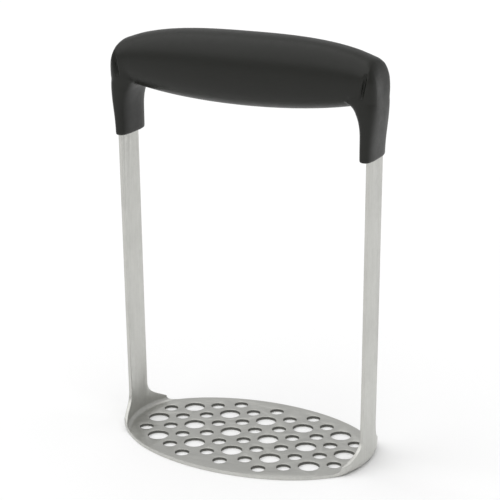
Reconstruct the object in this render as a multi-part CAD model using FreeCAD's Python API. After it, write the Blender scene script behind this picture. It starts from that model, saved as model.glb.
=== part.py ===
import FreeCAD, Part
import math
import os
from FreeCAD import Vector

# Hand masher: a perforated oval plate whose two ends turn up into straps, and a cushioned
# handle across the tops of the straps. Millimetres. Z = 0 is the underside of the plate,
# the handle runs along X, and the origin is under the middle of the plate.

# Steel frame: one sheet, with the plate, its turned-up ends and the two straps
sheet = 1.5
plate_length = 115.8
plate_width = 73.4
foot_inset = 0.8             # from the oval's tip to the outer face of a turned-up end
bend_radius = 2.0            # inside radius of the turned-up ends
wing_span = 44.0             # width over which each end of the plate turns up
flare_top = 14.6             # height at which a strap's edges become straight
flare_drop = 6.6             # length of the flare's curve handle down the strap's edge
flare_spread = 10.0          # and out along the wing
flare_slope = 0.62           # rise of the wing's top edge over its run, where it meets the rim
strap_inset = 1.4            # from the oval's tip to the outer face of the flat strap
strap_width_foot = 13.8
strap_width_top = 14.5
strap_splay = 0.37           # degrees that each strap leans outwards
flat_height = 45.0           # height at which the bowed foot of a strap has become flat

# Perforations: columns along X, rows along Y, every other column half a row further on
column_pitch = 9.05
row_pitch = 11.2
large_hole = 9.1
small_hole = 6.1
large_row_step = 1.5         # rows between the large holes' rows
hole_margin = 2.5            # sheet left between a hole and the rim or the bend

# Soft grip: a barrel across the top, with a leg moulded down over each strap
overall_height = 178.9
grip_height_middle = 29.9
grip_height_end = 18.2
grip_depth_middle = 27.0
oval_power = 2.3             # 2 is an ellipse, more is squarer
barrel_inset = 2.35          # from a strap's outer face in to where the barrel meets the end
end_wall = 2.75              # from a strap's outer face out to the outermost face of the end
end_proud = 0.3              # that the ends stand out from the barrel where they meet it
end_spread = 1.3             # that the barrel's end is deeper than a leg's mouth
end_belly = 6.0              # how far the outermost point of an end lies under the middle line
leg_height = 31.7            # from a leg's mouth up to the middle line of the grip
leg_wall_outer = 1.0         # of the leg's mouth, over the strap's outer face
leg_wall_inner = 3.0         # and under its inner face
leg_wall_side = 2.5          # and beside its edges
gusset_reach = 8.0           # inside corner between a leg and the barrel, along X
gusset_drop = 16.0           # and down the leg
gusset_sink = -1.0           # of the corner's top under the barrel's end section
ridge_power = 3.0            # squareness of the legs' sections
crown_power = 2.0            # and of the ends' at the crown
shoulder_power = 1.5         # 1 is a bevel from the crown to the end face, 2 is an ellipse

# Rigid core inside the grip: a bar between two blocks that hold the straps' tangs
core_height = 15.0
core_depth = 12.0
collar_rise = 2.5            # collars that key the grip to the bar
collar_width = 3.0
collar_pitch = 18.0
collar_count = 5
block_wall_outer = 0.9       # over a tang's outer face
block_wall_inner = 1.6       # under its inner face and over its end
block_wall_side = 1.2        # beside its edges
block_chamfer = 1.2          # of the block's outer upright corners
block_bottom = 16.0          # from a leg's mouth
bond_gap = 0.05              # between the core and the grip moulded over it

# Tangs: the top ends of the straps, moulded into the blocks
tang_depth = 28.0            # from a leg's mouth to the end of the tang
tang_chamfer = 2.5
tang_hole = 6.0              # the core's plastic fills it and locks the tang
tang_hole_depth = 22.0       # from a leg's mouth
tang_gap = 0.05

# How finely the lofted shapes are stepped
loop_points = 24
barrel_stations = 11
leg_stations = 14
arch_stations = 6
arch_top_angle = 82.0        # degrees up the arch at which the ends are closed

# Places worked out from the sizes above
half_length = plate_length / 2
half_width = plate_width / 2
wing_half = wing_span / 2
foot_reach = half_length - foot_inset
bend_start = foot_reach - bend_radius - sheet
crossing_x = half_length * math.sqrt(1 - (wing_half / half_width) ** 2)
bend_bulge = bend_start - crossing_x
bend_line_radius = (bend_bulge ** 2 + wing_half ** 2) / (2 * bend_bulge)
bend_axis_x = bend_start - bend_line_radius
wall_radius = bend_line_radius + bend_radius + sheet
grip_middle_z = overall_height - grip_height_middle / 2
mouth_z = grip_middle_z - leg_height
tang_top = mouth_z + tang_depth
strap_lean = math.tan(math.radians(strap_splay))
strap_reach = half_length - strap_inset + grip_middle_z * strap_lean
barrel_reach = strap_reach - barrel_inset
end_reach = strap_reach + end_wall
leg_depth_mouth = strap_width_top + 2 * leg_wall_side
grip_depth_end = leg_depth_mouth + end_spread
end_top_height = grip_height_end / 2 + end_proud


def closed_prism(edges, direction):
    """Extrude the face inside a closed outline."""
    face = Part.Face(Part.Wire(Part.__sortEdges__(edges)))
    return face.extrude(direction)


def line(start, end):
    return Part.LineSegment(start, end).toShape()


def arc(start, middle, end):
    return Part.Arc(start, middle, end).toShape()


def bezier(points):
    curve = Part.BezierCurve()
    curve.setPoles(points)
    return curve.toShape()


def both_ends(shape):
    """The shape at +X and its mirror image at -X."""
    return [shape, shape.mirror(Vector(0, 0, 0), Vector(1, 0, 0))]


# ---- Steel frame ----

def hole_places():
    """Centre and radius of every perforation that stays clear of the rim and the bends."""
    columns = int(half_length / column_pitch)
    rows = int(half_width / row_pitch) + 1
    for column in range(-columns, columns + 1):
        offset = 0.0 if column % 2 else 0.5
        for step in range(-rows, rows + 1):
            row = step + offset
            is_large = abs(row) % large_row_step == 0
            radius = (large_hole if is_large else small_hole) / 2
            x = column * column_pitch
            y = row * row_pitch
            reach = radius + hole_margin
            angle = math.atan2(y / half_width, x / half_length)
            rim_x = half_length * math.cos(angle)
            rim_y = half_width * math.sin(angle)
            rim_clear = math.hypot(rim_x, rim_y) - math.hypot(x, y)
            bend_clear = bend_line_radius - math.hypot(abs(x) - bend_axis_x, y)
            if rim_clear > reach and (abs(x) < crossing_x - reach or bend_clear > reach):
                yield Vector(x, y, 0), radius


def flat_plate():
    """The oval plate up to the curved lines where its ends start to bend."""
    rim = Part.Ellipse(Vector(0, 0, 0), half_length, half_width).toShape()
    plate = Part.Face(Part.Wire([rim])).extrude(Vector(0, 0, sheet))
    beyond = Part.makeBox(half_length, plate_width, sheet, Vector(crossing_x, -half_width, 0))
    inside = Part.makeCylinder(bend_line_radius, sheet, Vector(bend_axis_x, 0, 0))
    for piece in both_ends(beyond.cut(inside)):
        plate = plate.cut(piece)
    drills = [Part.makeCylinder(radius, sheet, centre) for centre, radius in hole_places()]
    return plate.cut(Part.makeCompound(drills))


def turned_up_end():
    """Curved bend and wall at the +X end, trimmed to the wings and the foot of the strap."""
    outer = bend_axis_x + wall_radius
    inner = outer - sheet
    diagonal = math.sqrt(0.5)
    bend_centre = Vector(bend_start, 0, sheet + bend_radius)

    def on_bend(radius):
        return bend_centre + Vector(radius * diagonal, 0, -radius * diagonal)

    outline = [
        line(Vector(bend_start, 0, 0), Vector(bend_start, 0, sheet)),
        arc(Vector(bend_start, 0, sheet), on_bend(bend_radius), Vector(inner, 0, sheet + bend_radius)),
        line(Vector(inner, 0, sheet + bend_radius), Vector(inner, 0, flare_top)),
        line(Vector(inner, 0, flare_top), Vector(outer, 0, flare_top)),
        line(Vector(outer, 0, flare_top), Vector(outer, 0, sheet + bend_radius)),
        arc(Vector(outer, 0, sheet + bend_radius), on_bend(bend_radius + sheet), Vector(bend_start, 0, 0)),
    ]
    profile = Part.Face(Part.Wire(Part.__sortEdges__(outline)))
    sweep = math.degrees(math.asin(wing_half / bend_line_radius))
    profile.rotate(Vector(bend_axis_x, 0, 0), Vector(0, 0, 1), -sweep)
    wall = profile.revolve(Vector(bend_axis_x, 0, 0), Vector(0, 0, 1), 2 * sweep)
    return wall.common(flare_prism()).common(wing_prism())


def flare_prism():
    """Side view of the foot: the strap's width at the top, flaring to the wings below."""
    half = strap_width_foot / 2
    edges = [line(Vector(0, -half, flare_top), Vector(0, half, flare_top)),
             line(Vector(0, -wing_half, 0), Vector(0, wing_half, 0))]
    for side in (-1, 1):
        edges.append(bezier([
            Vector(0, side * half, flare_top),
            Vector(0, side * half, flare_top - flare_drop),
            Vector(0, side * (wing_half - flare_spread), sheet + flare_spread * flare_slope),
            Vector(0, side * wing_half, sheet)]))
        edges.append(line(Vector(0, side * wing_half, 0), Vector(0, side * wing_half, sheet)))
    return closed_prism(edges, Vector(plate_length, 0, 0))


def wing_prism():
    """Plan of the end: the oval's rim carries straight on where the sheet starts to bend."""
    slope = -half_length ** 2 * wing_half / (half_width ** 2 * crossing_x)
    far_x = plate_length
    far_y = wing_half + (far_x - crossing_x) / slope
    corners = [Vector(0, -wing_half, 0), Vector(crossing_x, -wing_half, 0), Vector(far_x, -far_y, 0),
               Vector(far_x, far_y, 0), Vector(crossing_x, wing_half, 0), Vector(0, wing_half, 0)]
    if far_y < 0:
        tip_x = crossing_x - wing_half * slope
        corners[2:4] = [Vector(tip_x, 0, 0)]
    return Part.Face(Part.makePolygon(corners + corners[:1])).extrude(Vector(0, 0, flare_top))


def strap_half_width(z):
    share = (z - flare_top) / (tang_top - flare_top)
    return (strap_width_foot + share * (strap_width_top - strap_width_foot)) / 2


def strap_face(z):
    """X of the outer face of the +X strap where it is flat."""
    return half_length - strap_inset + z * strap_lean


def bowed_section():
    """The strap's section at its foot, which follows the curved wall."""
    half = strap_width_foot / 2
    edges = []
    for radius in (wall_radius, wall_radius - sheet):
        side_x = bend_axis_x + math.sqrt(radius ** 2 - half ** 2)
        edges.append(arc(Vector(side_x, -half, flare_top),
                         Vector(bend_axis_x + radius, 0, flare_top),
                         Vector(side_x, half, flare_top)))
    ends = [edge.Vertexes for edge in edges]
    for index in (0, 1):
        edges.append(line(ends[0][index].Point, ends[1][index].Point))
    return Part.Wire(Part.__sortEdges__(edges))


def flat_section(z, grown=0.0):
    """The strap's flat section, grown on all sides by a clearance."""
    half = strap_half_width(z) + grown
    outer = strap_face(z) + grown
    inner = strap_face(z) - sheet - grown
    corners = [Vector(outer, -half, z), Vector(outer, half, z), Vector(inner, half, z), Vector(inner, -half, z)]
    return Part.makePolygon(corners + corners[:1])


def strap():
    """The +X strap from its foot to the end of its tang."""
    foot = Part.makeLoft([bowed_section(), flat_section(flat_height)], True, True)
    upper = Part.makeLoft([flat_section(flat_height), flat_section(tang_top)], True, True)
    half = strap_half_width(tang_top)
    for side in (-1, 1):
        corner = [Vector(0, side * (half + 1), tang_top - tang_chamfer - 1),
                  Vector(0, side * (half + 1), tang_top + 1),
                  Vector(0, side * (half - tang_chamfer - 1), tang_top + 1)]
        wedge = Part.Face(Part.makePolygon(corner + corner[:1])).extrude(Vector(plate_length, 0, 0))
        upper = upper.cut(wedge)
    upper = upper.cut(lock_pin(tang_hole))
    return foot.fuse(upper)


def lock_pin(diameter):
    """Cylinder along X through the hole in the +X tang."""
    height = mouth_z + tang_hole_depth
    start = Vector(strap_face(height) - 2 * sheet, 0, height)
    return Part.makeCylinder(diameter / 2, 3 * sheet, start, Vector(1, 0, 0))


def mashing_frame():
    frame = flat_plate()
    end = turned_up_end().fuse(strap())
    for piece in both_ends(end):
        frame = frame.fuse(piece)
    return frame.removeSplitter()


# ---- Handle ----

def end_share(x, end_size, middle_size):
    """Share of the middle's size left at x, on an ellipse that has the end's size at the seam."""
    drop = 1 - (end_size / middle_size) ** 2
    return math.sqrt(1 - drop * (x / barrel_reach) ** 2)


def squarish_loop(centre, half_x, half_y, power):
    """Closed level outline between a rectangle and an ellipse."""
    points = []
    for step in range(loop_points):
        angle = 2 * math.pi * step / loop_points
        across = math.cos(angle)
        along = math.sin(angle)
        points.append(centre + Vector(math.copysign(abs(across) ** (2 / power), across) * half_x,
                                      math.copysign(abs(along) ** (2 / power), along) * half_y, 0))
    curve = Part.BSplineCurve()
    curve.interpolate(Points=points, PeriodicFlag=True)
    return Part.Wire([curve.toShape()])


def barrel_section(x):
    """Closed outline of the barrel across X."""
    half_depth = grip_depth_middle / 2 * end_share(x, grip_depth_end, grip_depth_middle)
    half_height = grip_height_middle / 2 * end_share(x, grip_height_end, grip_height_middle)
    loop = squarish_loop(Vector(0, 0, 0), half_height, half_depth, oval_power)
    loop.rotate(Vector(0, 0, 0), Vector(0, 1, 0), -90)
    loop.translate(Vector(x, 0, grip_middle_z))
    return loop


def barrel():
    """The part of the grip that the hand holds."""
    places = [barrel_reach * (2 * step / (barrel_stations - 1) - 1) for step in range(barrel_stations)]
    return Part.makeLoft([barrel_section(x) for x in places], True, False)


def eased(share):
    """Smooth step from 0 to 1, level at both."""
    return (1 - math.cos(math.pi * share)) / 2


def end_outer_x(z):
    """Outer face of the +X end: out from the leg's mouth to its belly, then in over the shoulder."""
    mouth_x = strap_face(mouth_z) + leg_wall_outer
    belly_z = grip_middle_z - end_belly
    if z < belly_z:
        return mouth_x + (end_reach - mouth_x) * eased((z - mouth_z) / (belly_z - mouth_z))
    rise = (z - belly_z) / (end_top_height + end_belly)
    return barrel_reach + (end_reach - barrel_reach) * (1 - rise ** shoulder_power) ** (1 / shoulder_power)


def end_inner_x(z):
    """Inner face of the +X end: up the leg, round the gusset, and back inside the barrel."""
    mouth_x = strap_face(mouth_z) - sheet - leg_wall_inner
    gusset_z = grip_middle_z - grip_height_end / 2 - gusset_sink
    share = (z - gusset_z + gusset_drop) / gusset_drop
    if share <= 0:
        return mouth_x
    if share <= 1:
        return mouth_x - gusset_reach * (1 - math.sqrt(1 - share ** 2))
    back = (z - gusset_z) / (grip_middle_z + end_top_height - gusset_z)
    return mouth_x - gusset_reach * (1 - back) ** 2


def end_half_depth(z):
    """Half the depth of an end along Y: the leg, then an arch over the barrel's end section."""
    half_end = grip_depth_end / 2 + end_proud
    half_mouth = leg_depth_mouth / 2
    if z < grip_middle_z:
        return half_mouth + (half_end - half_mouth) * eased((z - mouth_z) / leg_height)
    rise = (z - grip_middle_z) / end_top_height
    return half_end * (1 - rise ** oval_power) ** (1 / oval_power)


def end_power(z):
    """Squareness of an end's level section, which rounds off towards the crown."""
    rise = max(0.0, (z - grip_middle_z) / end_top_height)
    return ridge_power + rise * (crown_power - ridge_power)


def moulded_end():
    """The +X end and leg, as level sections from the leg's mouth up to the crown."""
    heights = [mouth_z + leg_height * step / leg_stations for step in range(leg_stations + 1)]
    for step in range(1, arch_stations + 1):
        angle = math.radians(arch_top_angle) * step / arch_stations
        heights.append(grip_middle_z + end_top_height * math.sin(angle))
    sections = []
    for z in heights:
        middle = Vector((end_outer_x(z) + end_inner_x(z)) / 2, 0, z)
        half_thickness = (end_outer_x(z) - end_inner_x(z)) / 2
        sections.append(squarish_loop(middle, half_thickness, end_half_depth(z), end_power(z)))
    return Part.makeLoft(sections, True, False)


def core_oval(x, length, rise):
    """Elliptical disc along X around the grip's middle line."""
    half_depth = core_depth / 2 + rise
    half_height = core_height / 2 + rise
    disc = Part.makeCylinder(1.0, length, Vector(x, 0, 0), Vector(1, 0, 0))
    stretch = FreeCAD.Matrix()
    stretch.scale(1, half_depth, half_height)
    disc = disc.transformGeometry(stretch)
    disc.translate(Vector(0, 0, grip_middle_z))
    return disc


def solid_core(grown=0.0):
    """The core without its slots, grown on all sides by a clearance."""
    top_z = tang_top + block_wall_inner + grown
    bottom_z = mouth_z + block_bottom - grown
    inner_x = strap_face(bottom_z) - sheet - block_wall_inner - grown
    outer_x = strap_face(top_z) + block_wall_outer + grown
    bar_reach = strap_face(mouth_z + block_bottom) - block_wall_inner + grown
    half = strap_half_width(tang_top) + block_wall_side + grown
    corners = [Vector(inner_x, -half, bottom_z), Vector(outer_x - block_chamfer, -half, bottom_z),
               Vector(outer_x, block_chamfer - half, bottom_z), Vector(outer_x, half - block_chamfer, bottom_z),
               Vector(outer_x - block_chamfer, half, bottom_z), Vector(inner_x, half, bottom_z)]
    block = Part.Face(Part.makePolygon(corners + corners[:1])).extrude(Vector(0, 0, top_z - bottom_z))
    core = core_oval(-bar_reach, 2 * bar_reach, grown)
    for piece in both_ends(block):
        core = core.fuse(piece)
    for step in range(collar_count):
        middle = (step - (collar_count - 1) / 2) * collar_pitch
        width = collar_width + 2 * grown
        core = core.fuse(core_oval(middle - width / 2, width, collar_rise + grown))
    return core


def tang_slot():
    """Space for the +X strap and its tang, from below the leg's mouth up."""
    sections = [flat_section(mouth_z - 1, tang_gap), flat_section(tang_top + tang_gap, tang_gap)]
    return Part.makeLoft(sections, True, True)


def handle_core():
    core = solid_core()
    for piece in both_ends(tang_slot().cut(lock_pin(tang_hole - 2 * tang_gap))):
        core = core.cut(piece)
    return core.removeSplitter()


def soft_grip():
    """The grip's +X half, hollowed for the core and the strap, joined to its mirror image."""
    half_space = Part.makeBox(plate_length, plate_width, overall_height, Vector(0, -half_width, 0))
    half = barrel().common(half_space).fuse(moulded_end())
    half = half.cut(tang_slot()).cut(solid_core(bond_gap))
    right, left = both_ends(half)
    return right.fuse(left)


os.makedirs("parts", exist_ok=True)
for name, build in (("mashing_frame", mashing_frame), ("handle_core", handle_core), ("soft_grip", soft_grip)):
    shape = build()
    shape.exportStep("parts/" + name + ".step")
    print(name, "solids", len(shape.Solids), "valid", shape.isValid(), "volume", round(shape.Volume, 1))
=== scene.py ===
import math
import bpy
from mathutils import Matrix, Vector
from mathutils.bvhtree import BVHTree


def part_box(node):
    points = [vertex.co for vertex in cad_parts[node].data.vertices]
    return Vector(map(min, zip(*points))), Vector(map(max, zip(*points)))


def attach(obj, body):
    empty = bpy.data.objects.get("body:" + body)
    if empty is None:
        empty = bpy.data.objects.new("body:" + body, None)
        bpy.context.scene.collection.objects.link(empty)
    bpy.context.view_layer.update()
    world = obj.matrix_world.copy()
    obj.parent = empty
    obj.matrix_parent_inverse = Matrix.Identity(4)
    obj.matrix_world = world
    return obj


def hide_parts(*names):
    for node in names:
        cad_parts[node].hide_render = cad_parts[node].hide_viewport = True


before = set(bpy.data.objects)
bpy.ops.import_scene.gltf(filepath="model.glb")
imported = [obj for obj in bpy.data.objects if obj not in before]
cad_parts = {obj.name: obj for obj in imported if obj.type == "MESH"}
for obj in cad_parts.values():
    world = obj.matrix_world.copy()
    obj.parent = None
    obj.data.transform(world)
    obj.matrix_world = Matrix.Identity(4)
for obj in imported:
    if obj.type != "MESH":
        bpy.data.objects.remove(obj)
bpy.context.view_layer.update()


# ---- Steel frame ----
# One sheet of stainless steel: the perforated oval, its turned-up ends and the two straps.
# It is stamped, bent and tumbled, so every sheared edge is slightly rounded and the faces
# keep a fine rolled grain that runs the length of the sheet.

WELD = 0.000002              # loose triangle corners nearer than this are one point
SHEARED_EDGE = 0.00022       # rounding left on the edges by tumbling
SHARP_EDGE = math.radians(50)
SMOOTH_BELOW = math.radians(28)
FLAT_WITHIN = math.radians(0.3)
PLATE_SHEET = 0.0015
PLATE_HALF_LENGTH = 0.0579
BEND_START = 0.053
RIM_SHARE = 0.97             # of the way from the middle to the rim, past the last holes
UPRIGHT = 0.3                # a face leans less than this when it is the wall of a hole
GRAIN_STRETCH = (60, 1600, 60)
TEAR_STRETCH = (900, 900, 2400)
EVENLY = (1, 1, 1)
# A noise is its scale, its detail and, where it isn't the usual one, its roughness. A tone
# and a roughness are lowest and highest values. A relief is its strength and depth in metres.
GRAIN_NOISE = (1.0, 4.0, 0.6)
CLOUD_NOISE = (45.0, 3.0)
SCUFF_NOISE = (420.0, 4.0, 0.65)
GRAIN_TONE = (0.0, 0.45)
CLOUD_TONE = (0.0, 0.4)
STEEL_ROUGHNESS = (0.34, 0.47)
GRAIN_RELIEF = (0.12, 0.00005)
CLOUD_RELIEF = (0.05, 0.0002)
TEAR_NOISE = (1.0, 3.0)
PUNCHED_ROUGHNESS = (0.5, 0.65)
TEAR_RELIEF = (0.2, 0.0001)
STEEL_PALE = (0.61, 0.61, 0.58, 1.0)
STEEL_GREY = (0.50, 0.50, 0.475, 1.0)
# Painted shade: the hole walls are coloured much darker than the sheet to stand in for the shade
# inside the holes.
PUNCHED_SHADE_PALE = (0.20, 0.20, 0.185, 1.0)
PUNCHED_SHADE_GREY = (0.10, 0.10, 0.092, 1.0)


def select_only(piece):
    bpy.ops.object.select_all(action="DESELECT")
    piece.select_set(True)
    bpy.context.view_layer.objects.active = piece


def merged_copy(node, name):
    """A copy of a fixed node with its loose triangles merged into one skin."""
    piece = bpy.data.objects.new(name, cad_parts[node].data.copy())
    bpy.context.scene.collection.objects.link(piece)
    piece.data.materials.clear()
    select_only(piece)
    bpy.ops.object.mode_set(mode="EDIT")
    bpy.ops.mesh.select_all(action="SELECT")
    bpy.ops.mesh.remove_doubles(threshold=WELD)
    bpy.ops.object.mode_set(mode="OBJECT")
    return piece


def apply_modifier(piece, kind, **settings):
    select_only(piece)
    modifier = piece.modifiers.new(kind.title(), kind)
    for setting, value in settings.items():
        setattr(modifier, setting, value)
    bpy.ops.object.modifier_apply(modifier=modifier.name)


def new_material(name):
    material = bpy.data.materials.new(name)
    material.use_nodes = True
    nodes = material.node_tree.nodes
    links = material.node_tree.links
    return material, nodes, links, nodes["Principled BSDF"]


def object_pattern(nodes, links, scale):
    """Object coordinates stretched by a scale for each axis."""
    coordinates = nodes.new("ShaderNodeTexCoord")
    mapping = nodes.new("ShaderNodeMapping")
    mapping.inputs["Scale"].default_value = scale
    links.new(coordinates.outputs["Object"], mapping.inputs["Vector"])
    return mapping.outputs["Vector"]


def noise(nodes, links, vector, scale, detail, roughness=0.5):
    texture = nodes.new("ShaderNodeTexNoise")
    texture.inputs["Scale"].default_value = scale
    texture.inputs["Detail"].default_value = detail
    texture.inputs["Roughness"].default_value = roughness
    links.new(vector, texture.inputs["Vector"])
    return texture.outputs["Fac"]


def ranged(nodes, links, value, low, high, start=0.3, end=0.7):
    """A pattern's values spread between two limits."""
    spread = nodes.new("ShaderNodeMapRange")
    spread.inputs["From Min"].default_value = start
    spread.inputs["From Max"].default_value = end
    spread.inputs["To Min"].default_value = low
    spread.inputs["To Max"].default_value = high
    links.new(value, spread.inputs["Value"])
    return spread.outputs["Result"]


def two_colours(nodes, links, value, first, second):
    blend = nodes.new("ShaderNodeMix")
    blend.data_type = "RGBA"
    blend.inputs["A"].default_value = first
    blend.inputs["B"].default_value = second
    links.new(value, blend.inputs["Factor"])
    return blend.outputs["Result"]


def raised(nodes, links, shader, height, strength, distance, under=None):
    """Relief on the surface, over an earlier relief where there is one."""
    bump = nodes.new("ShaderNodeBump")
    bump.inputs["Strength"].default_value = strength
    bump.inputs["Distance"].default_value = distance
    links.new(height, bump.inputs["Height"])
    if under:
        links.new(under, bump.inputs["Normal"])
    links.new(bump.outputs["Normal"], shader.inputs["Normal"])
    return bump.outputs["Normal"]


def brushed_steel():
    material, nodes, links, shader = new_material("brushed stainless sheet")
    grain_vector = object_pattern(nodes, links, GRAIN_STRETCH)
    grain = noise(nodes, links, grain_vector, *GRAIN_NOISE)
    cloud = noise(nodes, links, object_pattern(nodes, links, EVENLY), *CLOUD_NOISE)
    scuff = noise(nodes, links, object_pattern(nodes, links, EVENLY), *SCUFF_NOISE)
    tone = nodes.new("ShaderNodeMath")
    tone.operation = "ADD"
    links.new(ranged(nodes, links, grain, *GRAIN_TONE), tone.inputs[0])
    links.new(ranged(nodes, links, cloud, *CLOUD_TONE), tone.inputs[1])
    links.new(two_colours(nodes, links, tone.outputs[0], STEEL_PALE, STEEL_GREY),
              shader.inputs["Base Color"])
    links.new(ranged(nodes, links, scuff, *STEEL_ROUGHNESS), shader.inputs["Roughness"])
    shader.inputs["Metallic"].default_value = 1.0
    fine = raised(nodes, links, shader, grain, *GRAIN_RELIEF)
    raised(nodes, links, shader, cloud, *CLOUD_RELIEF, fine)
    return material


def punched_steel_painted_shade():
    """The rough walls that the punch leaves inside the holes, coloured dark as painted shade inside
    the holes.
    """
    material, nodes, links, shader = new_material("punched hole walls with painted shade")
    tear = noise(nodes, links, object_pattern(nodes, links, TEAR_STRETCH), *TEAR_NOISE)
    links.new(two_colours(nodes, links, tear, PUNCHED_SHADE_PALE, PUNCHED_SHADE_GREY),
              shader.inputs["Base Color"])
    links.new(ranged(nodes, links, tear, *PUNCHED_ROUGHNESS), shader.inputs["Roughness"])
    shader.inputs["Metallic"].default_value = 1.0
    raised(nodes, links, shader, tear, *TEAR_RELIEF)
    return material


steel = merged_copy("mashing_frame", "steel_frame")
bpy.ops.object.mode_set(mode="EDIT")
bpy.ops.mesh.select_all(action="SELECT")
bpy.ops.mesh.dissolve_limited(angle_limit=FLAT_WITHIN)
bpy.ops.object.mode_set(mode="OBJECT")
apply_modifier(steel, "BEVEL", width=SHEARED_EDGE, segments=2, limit_method="ANGLE",
               angle_limit=SHARP_EDGE, use_clamp_overlap=False)
select_only(steel)
bpy.ops.object.shade_smooth_by_angle(angle=SMOOTH_BELOW)
steel.data.materials.append(brushed_steel())
steel.data.materials.append(punched_steel_painted_shade())
frame_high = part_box("mashing_frame")[1]
# Hole walls, but not the outer rim, take the second material, whose dark colour is painted shade
# inside the holes.
for face in steel.data.polygons:
    upright = abs(face.normal.z) < UPRIGHT and face.center.z < PLATE_SHEET
    within = math.hypot(face.center.x / PLATE_HALF_LENGTH, face.center.y / frame_high.y)
    if upright and within < RIM_SHARE and abs(face.center.x) < BEND_START:
        face.material_index = 1
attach(steel, "root")
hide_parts("mashing_frame")


# ---- Rigid core ----
# The hard plastic bar and its two blocks, moulded in one piece round the straps' tangs.
# The soft grip is moulded over it and seals it in.

CORE_DARK = (0.045, 0.045, 0.045, 1.0)
CORE_PALE = (0.06, 0.06, 0.058, 1.0)
CORE_NOISE = (900.0, 3.0)
CORE_ROUGHNESS = (0.45, 0.6)
CORE_RELIEF = (0.1, 0.0001)


def moulded_core_plastic():
    material, nodes, links, shader = new_material("plain moulded core plastic")
    grain = noise(nodes, links, object_pattern(nodes, links, EVENLY), *CORE_NOISE)
    links.new(two_colours(nodes, links, grain, CORE_DARK, CORE_PALE),
              shader.inputs["Base Color"])
    links.new(ranged(nodes, links, grain, *CORE_ROUGHNESS), shader.inputs["Roughness"])
    raised(nodes, links, shader, grain, *CORE_RELIEF)
    return material


core_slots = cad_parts["handle_core"].data.materials
core_slots.clear()
core_slots.append(moulded_core_plastic())


# ---- Soft grip ----
# One moulding of soft, matt black elastomer over the core and the tops of the straps. The
# oval barrel runs smoothly into a leg at each end. A soft ridge arches over the facet on
# each end, and a short crease on the front and the back marks where the two meet.

grip_low, grip_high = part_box("soft_grip")
BARREL_HALF_HEIGHT = 0.01495
BARREL_MIDDLE = grip_high.z - BARREL_HALF_HEIGHT
BARREL_END_HALF_HEIGHT = 0.0091
BARREL_END_RISE = 0.0087      # over the middle line, on the top
BARREL_TOP_FULLNESS = 2.8    # 2 is an ellipse, more keeps the top full nearer the ends
BARREL_HALF_DEPTH = grip_high.y
BARREL_END_HALF_DEPTH = 0.0104
BARREL_OVAL = 2.3            # 2 is an ellipse, more is squarer
SEAM = 0.0552                # from the middle to where the barrel meets a leg
BARREL_TIP = 0.0585          # the barrel's own round end, buried in a leg
CROWN_HALF_DEPTH = 0.0107
CROWN_HEIGHT = 0.0090        # of a leg's crown over the barrel's middle line
LEG_MOUTH_HALF_DEPTH = 0.00975
LEG_MOUTH_INNER = 0.05285
LEG_MOUTH_OUTER = 0.05835
BELLY = BARREL_MIDDLE - 0.006
GUSSET_TOP = BARREL_MIDDLE - 0.0081
GUSSET_DROP = 0.0135
GUSSET_REACH = 0.0075
SHOULDER_ROUND = 1.8
CROWN_ROUND = 1.7            # under 2, so the crown is rounder than an ellipse
LEG_SQUARE = 3.4
SKIN_VOXEL = 0.00045
CREASE_TOP = Vector((0.0562, BARREL_END_HALF_DEPTH, BARREL_MIDDLE + 0.0022))
CREASE_FOOT = Vector((0.0550, BARREL_END_HALF_DEPTH, BARREL_MIDDLE - 0.0044))
CREASE_DEPTH = 0.0016
CREASE_WIDTH = 0.00065
FACET_HOLLOW = 0.0005
CREASE_FACE = 0.0075         # the crease is only on faces further than this from the middle
CREASE_RUNOUT = 0.25         # share of its length over which it fades beyond each end
CREASE_FADE = 0.6            # below 1 keeps the crease deep for longer before it fades
CREASE_KEPT = 0.0012         # band beside the crease that stays crisp
CREASE_KEPT_FACE = 0.008
CREASE_KEPT_RUNOUT = 0.15
BLEND_INWARD = 0.006         # how far the barrel and a leg are blended, each way from the seam
BLEND_OUTWARD = 0.0018
BLEND_DROP = 0.004
BLEND_PASSES = 30
SKIN_PASSES = 3
FACET_START = 0.0045         # outwards from a leg's inner face
FACET_DROP = 0.012
FACET_RISE = 0.003
FACET_HALF_WIDTH = 0.0068
FACET_HALF_HEIGHT = 0.0075
MOUTH_LATITUDE = 0.88        # the ball's lowest part, south of this, closes a leg's mouth
BALL_RINGS = 72
RING_WELD = 0.0000005
GRIP_COLOUR_DEEP = (0.0062, 0.0067, 0.0048, 1.0)
GRIP_COLOUR_PALE = (0.0090, 0.0096, 0.0072, 1.0)
GRIP_CLOUD = (60.0, 3.0)
GRIP_PEBBLE = (2600.0, 2.0)
GRIP_SCUFF = (300.0, 5.0, 0.7)
GRIP_ROUGHNESS = (0.36, 0.46)
GRIP_SHEEN = 0.32
PEBBLE_RELIEF = (0.10, 0.00005)
GRIP_CLOUD_RELIEF = (0.05, 0.0002)
BOND_REACH = 0.0002          # the moulding's inner walls lie this near the core or a tang
MOUTH_OVERCUT = 0.001


def squarish(angle, half_first, half_second, power):
    """A point on a closed outline between a rectangle and an ellipse."""
    first = math.cos(angle)
    second = math.sin(angle)
    return (math.copysign(abs(first) ** (2 / power), first) * half_first,
            math.copysign(abs(second) ** (2 / power), second) * half_second)


def eased(share):
    return (1 - math.cos(math.pi * min(max(share, 0.0), 1.0))) / 2


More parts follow.
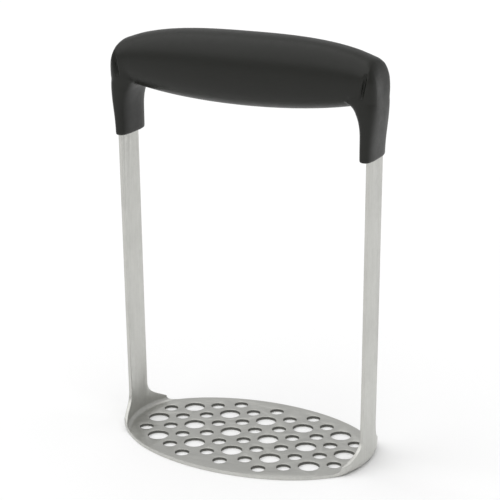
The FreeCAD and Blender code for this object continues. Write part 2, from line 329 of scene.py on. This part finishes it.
def barrel_point(place, angle):
    """A point on the barrel's skin, place along X and angle round it."""
    inside = min(abs(place) / SEAM, 1.0)
    height_drop = 1 - (BARREL_END_HALF_HEIGHT / BARREL_HALF_HEIGHT) ** 2
    depth_drop = 1 - (BARREL_END_HALF_DEPTH / BARREL_HALF_DEPTH) ** 2
    half_height = BARREL_HALF_HEIGHT * math.sqrt(1 - height_drop * inside ** 2)
    if math.sin(angle) > 0:
        top_drop = 1 - (BARREL_END_RISE / BARREL_HALF_HEIGHT) ** 2
        half_height = BARREL_HALF_HEIGHT * math.sqrt(1 - top_drop * inside ** BARREL_TOP_FULLNESS)
    half_depth = BARREL_HALF_DEPTH * math.sqrt(1 - depth_drop * inside ** 2)
    beyond = max(abs(place) - SEAM, 0.0) / (BARREL_TIP - SEAM)
    closing = math.sqrt(max(1 - beyond ** 2, 0.0))
    y, z = squarish(angle, half_depth * closing, half_height * closing, BARREL_OVAL)
    return Vector((place, y, BARREL_MIDDLE + z))


def leg_outer(z):
    if z < BELLY:
        share = (z - grip_low.z) / (BELLY - grip_low.z)
        return LEG_MOUTH_OUTER + (grip_high.x - LEG_MOUTH_OUTER) * eased(share)
    rise = min((z - BELLY) / (BARREL_MIDDLE + CROWN_HEIGHT - BELLY), 1.0)
    return SEAM + (grip_high.x - SEAM) * (1 - rise ** SHOULDER_ROUND) ** (1 / SHOULDER_ROUND)


def leg_inner(z):
    share = (z - GUSSET_TOP + GUSSET_DROP) / GUSSET_DROP
    if share <= 0:
        return LEG_MOUTH_INNER
    if share <= 1:
        return LEG_MOUTH_INNER - GUSSET_REACH * (1 - math.sqrt(1 - share ** 2))
    back = min((z - GUSSET_TOP) / (BARREL_MIDDLE + CROWN_HEIGHT - GUSSET_TOP), 1.0)
    return LEG_MOUTH_INNER - GUSSET_REACH * (1 - back) ** 2


def leg_point(z, angle, shrink=1.0):
    """A point on the +X leg's skin at a height. Shrink draws the outline in to its middle."""
    rise = min(max((z - BARREL_MIDDLE) / CROWN_HEIGHT, 0.0), 1.0)
    if rise > 0:
        half_depth = CROWN_HALF_DEPTH * (1 - rise ** BARREL_OVAL) ** (1 / BARREL_OVAL)
    else:
        share = (z - grip_low.z) / (BARREL_MIDDLE - grip_low.z)
        spread = CROWN_HALF_DEPTH - LEG_MOUTH_HALF_DEPTH
        half_depth = LEG_MOUTH_HALF_DEPTH + spread * eased(share)
    middle = (leg_outer(z) + leg_inner(z)) / 2
    half_thickness = (leg_outer(z) - leg_inner(z)) / 2
    power = LEG_SQUARE + rise * (CROWN_ROUND - LEG_SQUARE)
    x, y = squarish(angle, half_thickness * shrink, half_depth * shrink, power)
    return Vector((middle + x, y, z))


def shaped_ball(name, place_point):
    """A ball drawn out to a skin. The place of each point comes from its latitude and longitude."""
    bpy.ops.object.select_all(action="DESELECT")
    bpy.ops.mesh.primitive_uv_sphere_add(segments=BALL_RINGS, ring_count=BALL_RINGS, radius=1.0)
    piece = bpy.context.object
    piece.name = name
    for vertex in piece.data.vertices:
        latitude = math.asin(min(max(vertex.co.z, -1.0), 1.0)) / (math.pi / 2)
        longitude = math.atan2(vertex.co.y, vertex.co.x)
        vertex.co = place_point(latitude, longitude)
    piece.data.update()
    return piece


def leg_place(side):
    def place(latitude, longitude):
        floor_share = (latitude + 1) / (1 - MOUTH_LATITUDE)
        if floor_share < 1:
            point = leg_point(grip_low.z, longitude, floor_share)
        else:
            share = (latitude + MOUTH_LATITUDE) / (1 + MOUTH_LATITUDE)
            crown = BARREL_MIDDLE + CROWN_HEIGHT
            point = leg_point(grip_low.z + share * (crown - grip_low.z), longitude)
        point.x *= side
        return point
    return place


def recalculated(piece):
    select_only(piece)
    bpy.ops.object.mode_set(mode="EDIT")
    bpy.ops.mesh.select_all(action="SELECT")
    bpy.ops.mesh.remove_doubles(threshold=RING_WELD)
    bpy.ops.mesh.normals_make_consistent(inside=False)
    bpy.ops.object.mode_set(mode="OBJECT")


def smoothed(piece, chosen, repeat):
    """Relax the chosen part of a skin."""
    select_only(piece)
    bpy.ops.object.mode_set(mode="EDIT")
    bpy.ops.mesh.select_mode(type="VERT")
    bpy.ops.mesh.select_all(action="DESELECT")
    bpy.ops.object.mode_set(mode="OBJECT")
    for vertex in piece.data.vertices:
        vertex.select = chosen(vertex.co)
    bpy.ops.object.mode_set(mode="EDIT")
    bpy.ops.mesh.vertices_smooth(factor=0.5, repeat=repeat)
    bpy.ops.object.mode_set(mode="OBJECT")


def in_crease(point, margin):
    """How far a point lies across and along the crease on its own end and side."""
    mirrored = Vector((abs(point.x), abs(point.y), point.z))
    run = CREASE_TOP - CREASE_FOOT
    along = (mirrored - CREASE_FOOT).dot(run) / run.length_squared
    nearest = CREASE_FOOT + run * along
    across = math.hypot(mirrored.x - nearest.x, mirrored.z - nearest.z)
    return -margin < along < 1 + margin, along, across


barrel = shaped_ball("soft_grip_skin", lambda latitude, longitude: barrel_point(
    latitude * BARREL_TIP, longitude))
legs = [shaped_ball("leg", leg_place(side)) for side in (-1, 1)]
for piece in [barrel] + legs:
    recalculated(piece)
select_only(barrel)
for leg in legs:
    leg.select_set(True)
bpy.ops.object.join()
grip = barrel
apply_modifier(grip, "REMESH", mode="VOXEL", voxel_size=SKIN_VOXEL, use_smooth_shade=True)
smoothed(grip, lambda point: True, SKIN_PASSES)


def near_seam(point):
    between = SEAM - BLEND_INWARD < abs(point.x) < SEAM + BLEND_OUTWARD
    inside, _, across = in_crease(point, CREASE_KEPT_RUNOUT)
    kept = inside and across < CREASE_KEPT and abs(point.y) > CREASE_KEPT_FACE
    return between and point.z > GUSSET_TOP - BLEND_DROP and not kept


smoothed(grip, near_seam, BLEND_PASSES)

for vertex in grip.data.vertices:
    point = vertex.co
    inside, along, across = in_crease(point, CREASE_RUNOUT)
    if inside and abs(point.y) > CREASE_FACE:
        run = min(max((along + CREASE_RUNOUT) / (1 + 2 * CREASE_RUNOUT), 0.0), 1.0)
        fade = math.sin(math.pi * run) ** CREASE_FADE
        depth = CREASE_DEPTH * fade * math.exp(-(across / CREASE_WIDTH) ** 2)
        point.y -= math.copysign(depth, point.y)
    outward = abs(point.x) - leg_inner(point.z)
    if outward > FACET_START and point.z > BELLY - FACET_DROP:
        width = 1 - (abs(point.y) / FACET_HALF_WIDTH) ** 2
        height = math.exp(-((point.z - BELLY - FACET_RISE) / FACET_HALF_HEIGHT) ** 2)
        if width > 0:
            point.x -= math.copysign(FACET_HOLLOW * width * height, point.x)
grip.data.update()


def skin_tree(node):
    """The surface of a fixed node, for finding what lies against it."""
    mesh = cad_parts[node].data
    return BVHTree.FromPolygons([vertex.co for vertex in mesh.vertices],
                                [face.vertices for face in mesh.polygons])


# The hollow that the core and the tangs fill: the moulding's inner walls, closed at the mouths
hollow = merged_copy("soft_grip", "hollow")
neighbours = [skin_tree("handle_core"), skin_tree("mashing_frame")]
bpy.ops.object.mode_set(mode="EDIT")
bpy.ops.mesh.select_mode(type="FACE")
bpy.ops.mesh.select_all(action="DESELECT")
bpy.ops.object.mode_set(mode="OBJECT")
for face in hollow.data.polygons:
    face.select = all(tree.find_nearest(face.center, BOND_REACH)[0] is None for tree in neighbours)
bpy.ops.object.mode_set(mode="EDIT")
bpy.ops.mesh.delete(type="FACE")
bpy.ops.mesh.select_mode(type="EDGE")
bpy.ops.mesh.select_all(action="DESELECT")
bpy.ops.mesh.select_non_manifold()
bpy.ops.mesh.extrude_region_move(TRANSFORM_OT_translate={"value": (0, 0, -MOUTH_OVERCUT)})
bpy.ops.mesh.select_all(action="SELECT")
bpy.ops.mesh.fill_holes(sides=0)
bpy.ops.mesh.select_all(action="SELECT")
bpy.ops.mesh.normals_make_consistent(inside=False)
bpy.ops.object.mode_set(mode="OBJECT")
apply_modifier(grip, "BOOLEAN", operation="DIFFERENCE", object=hollow, solver="EXACT")
bpy.data.objects.remove(hollow)

grip.data.materials.clear()
select_only(grip)
bpy.ops.object.shade_smooth()


def soft_black():
    material, nodes, links, shader = new_material("soft black elastomer")
    plain = object_pattern(nodes, links, EVENLY)
    cloud = noise(nodes, links, plain, *GRIP_CLOUD)
    pebble = noise(nodes, links, plain, *GRIP_PEBBLE)
    scuff = noise(nodes, links, plain, *GRIP_SCUFF)
    links.new(two_colours(nodes, links, cloud, GRIP_COLOUR_DEEP, GRIP_COLOUR_PALE),
              shader.inputs["Base Color"])
    links.new(ranged(nodes, links, scuff, *GRIP_ROUGHNESS), shader.inputs["Roughness"])
    shader.inputs["Specular IOR Level"].default_value = GRIP_SHEEN
    fine = raised(nodes, links, shader, pebble, *PEBBLE_RELIEF)
    raised(nodes, links, shader, cloud, *GRIP_CLOUD_RELIEF, fine)
    return material


grip.data.materials.append(soft_black())
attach(grip, "root")
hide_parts("soft_grip")


# ---- Floor, light and camera ----
# A plain pale studio floor under broad soft lights, one above and one behind. The long
# lens stands in front and to the right, a little above the handle.

FLOOR_SIZE = 12.0
FLOOR_PALE = (0.96, 0.96, 0.96, 1.0)
AIM = (0, 0, 0.09)           # half-way up the masher
STUDIO_GLOW = 0.50
OVERHEAD_PLACE = (-0.25, -0.5, 1.6)
OVERHEAD_POWER = 1.9
OVERHEAD_SPREAD = math.radians(100)
BACK_LIGHT_PLACE = (-0.9, 1.9, 0.9)
BACK_LIGHT_SIZE = (2.2, 1.3)
BACK_LIGHT_GLOW = 0.12
LENS_LENGTH = 112.5          # millimetres, as is the next
SENSOR_WIDTH = 36.0
CAMERA_PLACE = (0.2819, -0.5581, 0.2885)
CAMERA_RIGHT = (0.8943, 0.4474, -0.0073)
CAMERA_UP = (-0.1313, 0.2781, 0.9516)
CAMERA_BACK = (0.4277, -0.8500, 0.3075)

bpy.context.scene.view_settings.view_transform = "Standard"
bpy.ops.object.select_all(action="DESELECT")
bpy.ops.mesh.primitive_plane_add(size=FLOOR_SIZE, location=(0, 0, 0))
floor = bpy.context.object
floor.name = "floor"
floor_material, _, _, floor_shader = new_material("pale paper")
floor_shader.inputs["Base Color"].default_value = FLOOR_PALE
floor_shader.inputs["Roughness"].default_value = 1.0
floor_shader.inputs["Specular IOR Level"].default_value = 0.0
floor.data.materials.append(floor_material)

world = bpy.data.worlds.new("studio")
world.use_nodes = True
world.node_tree.nodes["Background"].inputs["Color"].default_value = (1.0, 1.0, 1.0, 1.0)
world.node_tree.nodes["Background"].inputs["Strength"].default_value = STUDIO_GLOW
bpy.context.scene.world = world


def aimed(name, light, place, target=AIM):
    holder = bpy.data.objects.new(name, light)
    holder.location = place
    toward = Vector(target) - Vector(place)
    holder.rotation_euler = toward.to_track_quat("-Z", "Y").to_euler()
    bpy.context.scene.collection.objects.link(holder)


def soft_box(name, place, size, brightness):
    lamp = bpy.data.lights.new(name, "AREA")
    lamp.shape = "RECTANGLE"
    lamp.size, lamp.size_y = size
    lamp.energy = brightness * math.pi * size[0] * size[1]
    aimed(name, lamp, place)


overhead = bpy.data.lights.new("overhead", "SUN")
overhead.energy = OVERHEAD_POWER
overhead.angle = OVERHEAD_SPREAD
aimed("overhead", overhead, OVERHEAD_PLACE)
soft_box("behind", BACK_LIGHT_PLACE, BACK_LIGHT_SIZE, BACK_LIGHT_GLOW)

lens = bpy.data.cameras.new("camera")
lens.lens = LENS_LENGTH
lens.sensor_width = SENSOR_WIDTH
camera = bpy.data.objects.new("camera", lens)
camera.location = CAMERA_PLACE
turn = camera.matrix_world.to_3x3()
turn.col[0] = CAMERA_RIGHT
turn.col[1] = CAMERA_UP
turn.col[2] = CAMERA_BACK
camera.rotation_euler = turn.to_euler()
bpy.context.scene.collection.objects.link(camera)
bpy.context.scene.camera = camera
